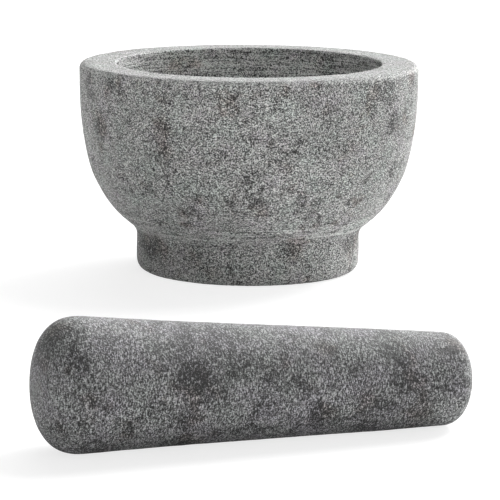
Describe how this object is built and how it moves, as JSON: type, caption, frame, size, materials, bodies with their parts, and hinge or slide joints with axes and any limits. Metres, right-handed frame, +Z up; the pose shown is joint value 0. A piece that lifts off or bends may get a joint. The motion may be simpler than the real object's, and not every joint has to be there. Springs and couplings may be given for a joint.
{
  "type": "mortar and pestle",
  "caption": "Turned grey stone mortar, a deep round bowl with a flat rim on a short ring foot, and a separate tapered stone pestle with rounded ends lying in front of it.",
  "frame": {"origin": "centre of the flat under the mortar's foot, on the mortar's axis and on the plane that both stones rest on", "axes": "+Z up along the mortar's axis, -Y towards the pestle and the viewer, +X towards the pestle's thin end"},
  "size_m": [0.152, 0.4315, 0.092],
  "materials": {
    "mortar_stone": "turned, unpolished, fine speckle with dark mottles",
    "pestle_stone": "turned, unpolished, fine speckle with dark mottles"
  },
  "bodies": {
    "mortar": {"mortar": "mortar_stone"},
    "pestle": {"pestle": "pestle_stone"}
  },
  "joints": [
    {"name": "pestle_lift", "type": "slide", "parent": "mortar", "child": "pestle", "axis": [0, 0, 1], "range_m": [0, 0.15]}
  ]
}
